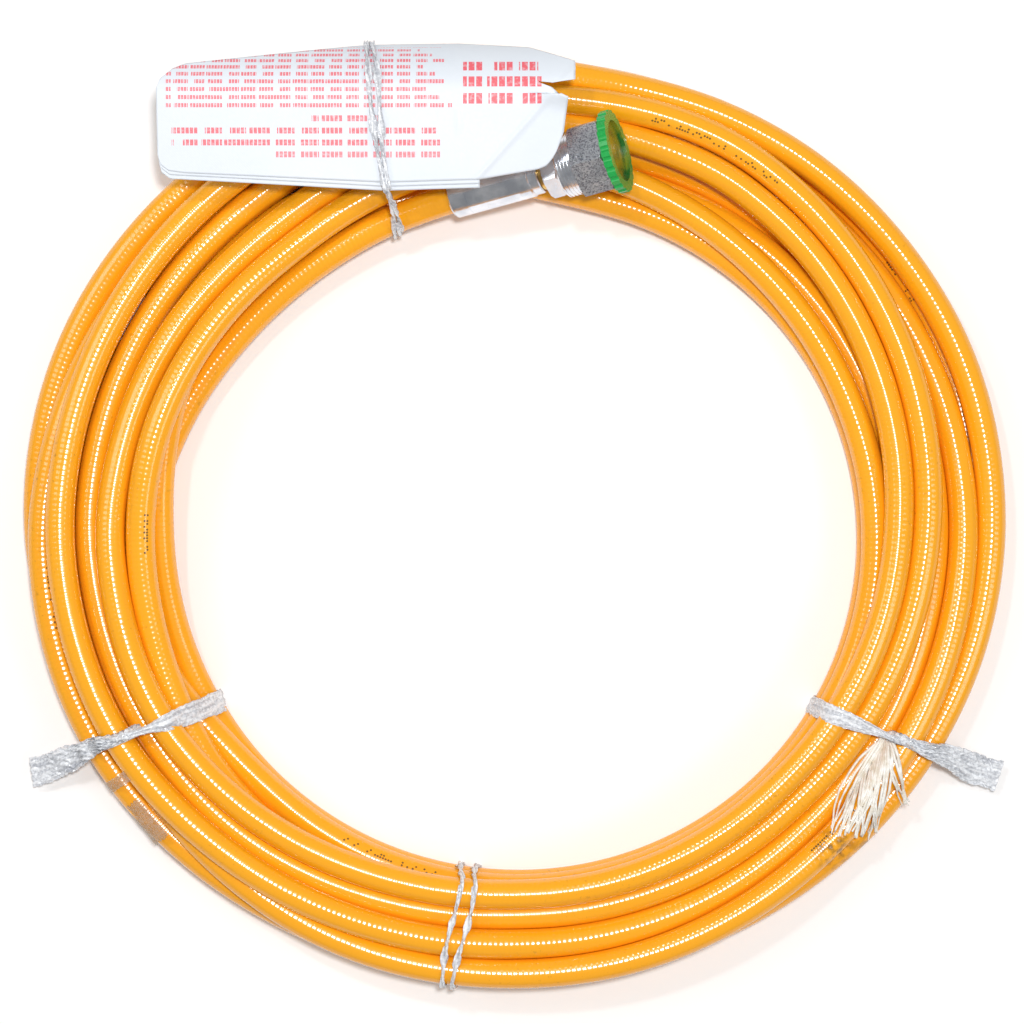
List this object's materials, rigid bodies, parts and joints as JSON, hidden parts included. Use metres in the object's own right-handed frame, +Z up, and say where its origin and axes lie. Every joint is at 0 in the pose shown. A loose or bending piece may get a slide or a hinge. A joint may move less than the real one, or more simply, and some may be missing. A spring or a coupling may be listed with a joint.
{
  "type": "airless spray hose",
  "caption": "Coiled yellow high-pressure paint hose with swivel-nut end fittings, a push-in plug cap, a folded hang tag and plastic ties.",
  "frame": {"origin": "centre of the coil's outline, on the surface that the coil lies flat on", "axes": "+X across the longer outside width of the oval coil, +Y towards the tagged side with the fittings, +Z up, along the coil's winding axis"},
  "size_m": [0.376, 0.353, 0.0595],
  "materials": {
    "hose_cover": "satin yellow-orange extruded cover",
    "core_tube": "natural nylon",
    "braid": "woven polyester fibre",
    "zinc_ferrule": "bright zinc plate, crimped",
    "zinc_stem": "bright zinc plate, turned",
    "zinc_nut": "bright zinc plate on rough drawn flats",
    "brass_ring": "turned brass",
    "plug_cap": "moulded soft green plastic",
    "tag_sheet": null,
    "tie_film": "crumpled clear film tie",
    "clear_tape": "clear adhesive tape"
  },
  "bodies": {
    "root": {"bottom_tie_1": "tie_film", "bottom_tie_2": "tie_film", "braid_a": "braid", "braid_b": "braid", "clip_ring_a": "brass_ring", "clip_ring_b": "brass_ring", "core_tube_a": "core_tube", "core_tube_b": "core_tube", "ferrule_a": "zinc_ferrule", "ferrule_b": "zinc_ferrule", "hose_coil": "hose_cover", "hose_tail_a": "hose_cover", "hose_tail_b": "hose_cover", "left_tie": "tie_film", "left_tie_end": "tie_film", "right_tie": "tie_film", "right_tie_end": "tie_film", "right_tie_tassel": "tie_film", "stem_a": "zinc_stem", "stem_b": "zinc_stem", "tag_back_leaf": "tag_sheet", "tag_front_leaf": "tag_sheet", "tag_middle_leaf": "tag_sheet", "tape_1": "clear_tape", "tape_2": "clear_tape", "thrust_ring_a": "brass_ring", "thrust_ring_b": "brass_ring", "top_tie_1": "tie_film", "top_tie_2": "tie_film"},
    "nut_a": {"swivel_nut_a": "zinc_nut"},
    "cap": {"plug_cap": "plug_cap"},
    "nut_b": {"swivel_nut_b": "zinc_nut"}
  },
  "joints": [
    {"name": "nut_a_spin", "type": "hinge", "parent": "root", "child": "nut_a", "pos_m": [0.01837, 0.13061, 0.03738], "axis": [0.9259, 0.2172, 0.309], "continuous": true},
    {"name": "cap_pull", "type": "slide", "parent": "nut_a", "child": "cap", "axis": [0.9259, 0.2172, 0.309], "range_m": [0, 0.011]},
    {"name": "nut_b_spin", "type": "hinge", "parent": "root", "child": "nut_b", "pos_m": [-0.08279, 0.15217, 0.03966], "axis": [-0.9671, -0.2447, 0.0698], "continuous": true}
  ]
}
